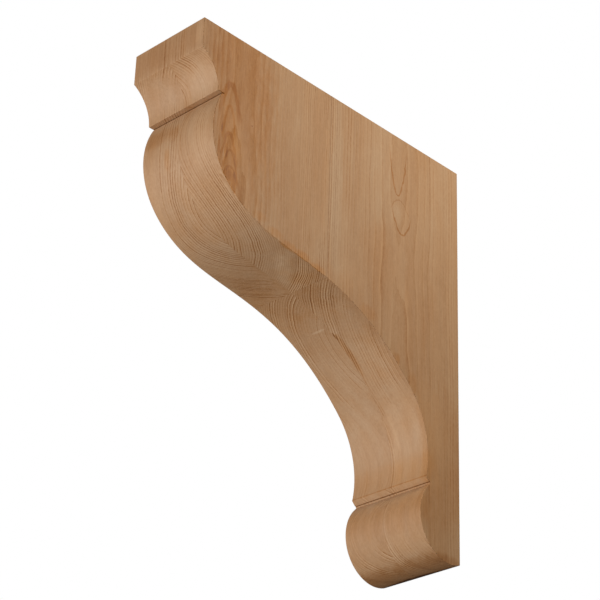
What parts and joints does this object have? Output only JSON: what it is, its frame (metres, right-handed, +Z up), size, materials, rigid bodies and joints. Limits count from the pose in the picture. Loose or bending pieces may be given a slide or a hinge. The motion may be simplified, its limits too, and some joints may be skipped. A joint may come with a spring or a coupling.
{
  "type": "wooden corbel bracket",
  "caption": "Wooden corbel bracket with a fascia, cove, ogee belly and sweep, and a rolled foot; it fixes to a wall by its flat back and carries a beam or shelf on its flat top.",
  "frame": {"origin": "centre of the flat wall face, where the bracket meets the wall", "axes": "+X to the right of someone who faces the bracket, +Y into the wall, +Z up; the moulded front points to -Y"},
  "size_m": [0.089, 0.339, 0.4082],
  "materials": {
    "front_left_wood": "bare sanded softwood, faintly satin, warm tan with a browner left flank",
    "front_right_wood": "bare sanded softwood, faintly satin, greyer tan with pale streaks",
    "back_left_wood": "bare sanded softwood, faintly satin, pinkish tan",
    "back_right_wood": "bare sanded softwood, faintly satin, golden tan"
  },
  "bodies": {
    "root": {"front_left_board": "front_left_wood", "front_right_board": "front_right_wood", "back_left_board": "back_left_wood", "back_right_board": "back_right_wood"}
  },
  "joints": []
}
